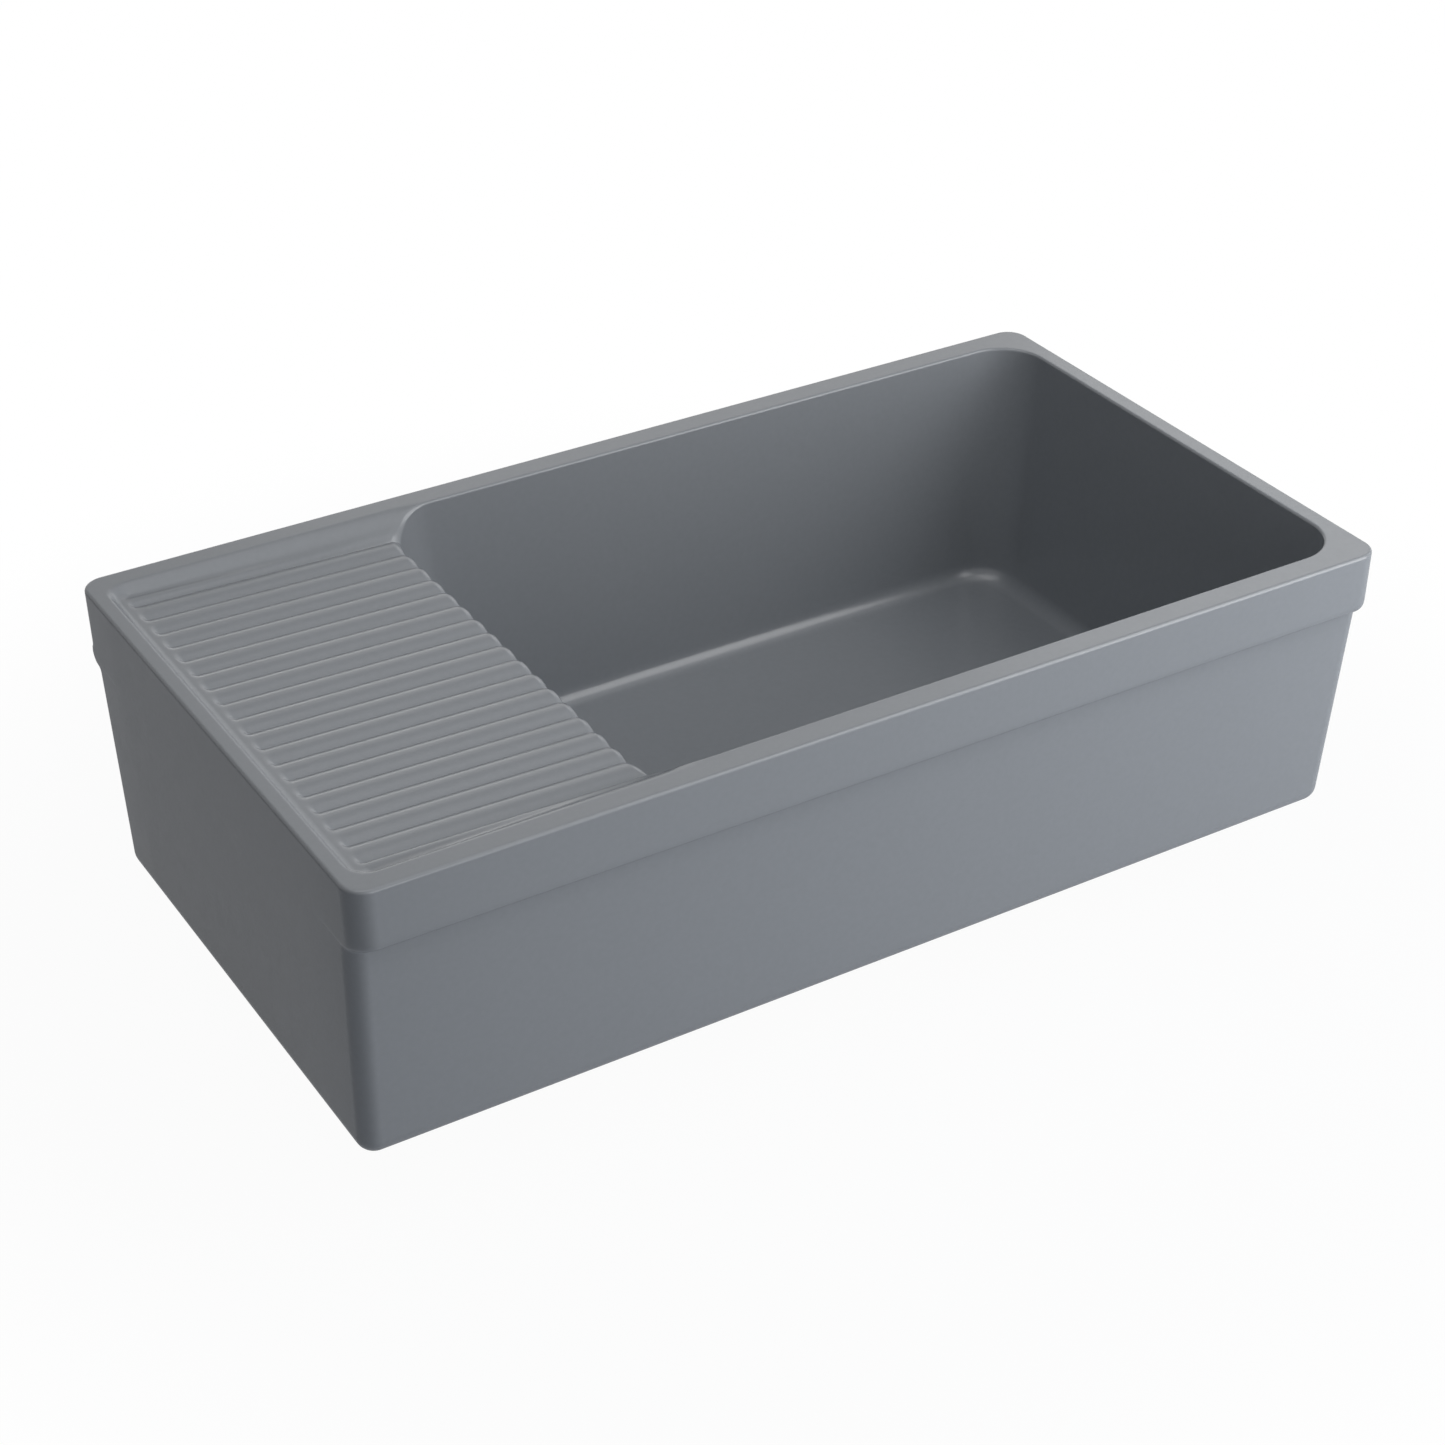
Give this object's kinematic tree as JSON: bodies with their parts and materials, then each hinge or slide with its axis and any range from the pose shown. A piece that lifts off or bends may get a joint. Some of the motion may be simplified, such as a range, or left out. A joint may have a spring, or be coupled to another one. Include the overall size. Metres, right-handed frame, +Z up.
{
  "type": "farmhouse apron-front sink",
  "caption": "Deep rectangular fireclay apron-front sink with a ribbed drainboard beside the bowl and a lift-out basket strainer that seals the drain hole.",
  "frame": {"origin": "centre of the casting's flat underside", "axes": "+X runs right along the front apron, +Y runs back from the apron, +Z is up"},
  "size_m": [0.9142, 0.5, 0.3177],
  "materials": {
    "glazed_fireclay": "satin glaze, cement grey",
    "stainless_steel": "satin brushed",
    "black_rubber": "moulded, matt",
    "sealing_putty": "soft sealing compound",
    "pressed_fibre": "pressed fibre",
    "brass": "cast and turned",
    "nylon": "natural, moulded"
  },
  "bodies": {
    "sink": {"sink_basin": "glazed_fireclay", "flange_seal": "sealing_putty", "strainer_body": "stainless_steel", "under_gasket": "black_rubber", "friction_washer": "pressed_fibre", "lock_nut": "brass", "coupling_washer": "nylon", "coupling_nut": "brass", "strainer_cross": "stainless_steel", "post_clip": "brass"},
    "stopper": {"basket_post": "stainless_steel", "basket_knob": "stainless_steel", "basket_collar": "stainless_steel", "backing_washer": "stainless_steel", "stopper_seal": "black_rubber", "post_nut": "brass"},
    "basket": {"basket_cup": "stainless_steel"}
  },
  "joints": [
    {"name": "stopper_lift", "type": "slide", "parent": "sink", "child": "stopper", "axis": [0, 0, 1], "range_m": [0, 0.32]},
    {"name": "basket_turn", "type": "hinge", "parent": "stopper", "child": "basket", "pos_m": [0.115, 0, 0], "axis": [0, 0, 1], "continuous": true}
  ]
}
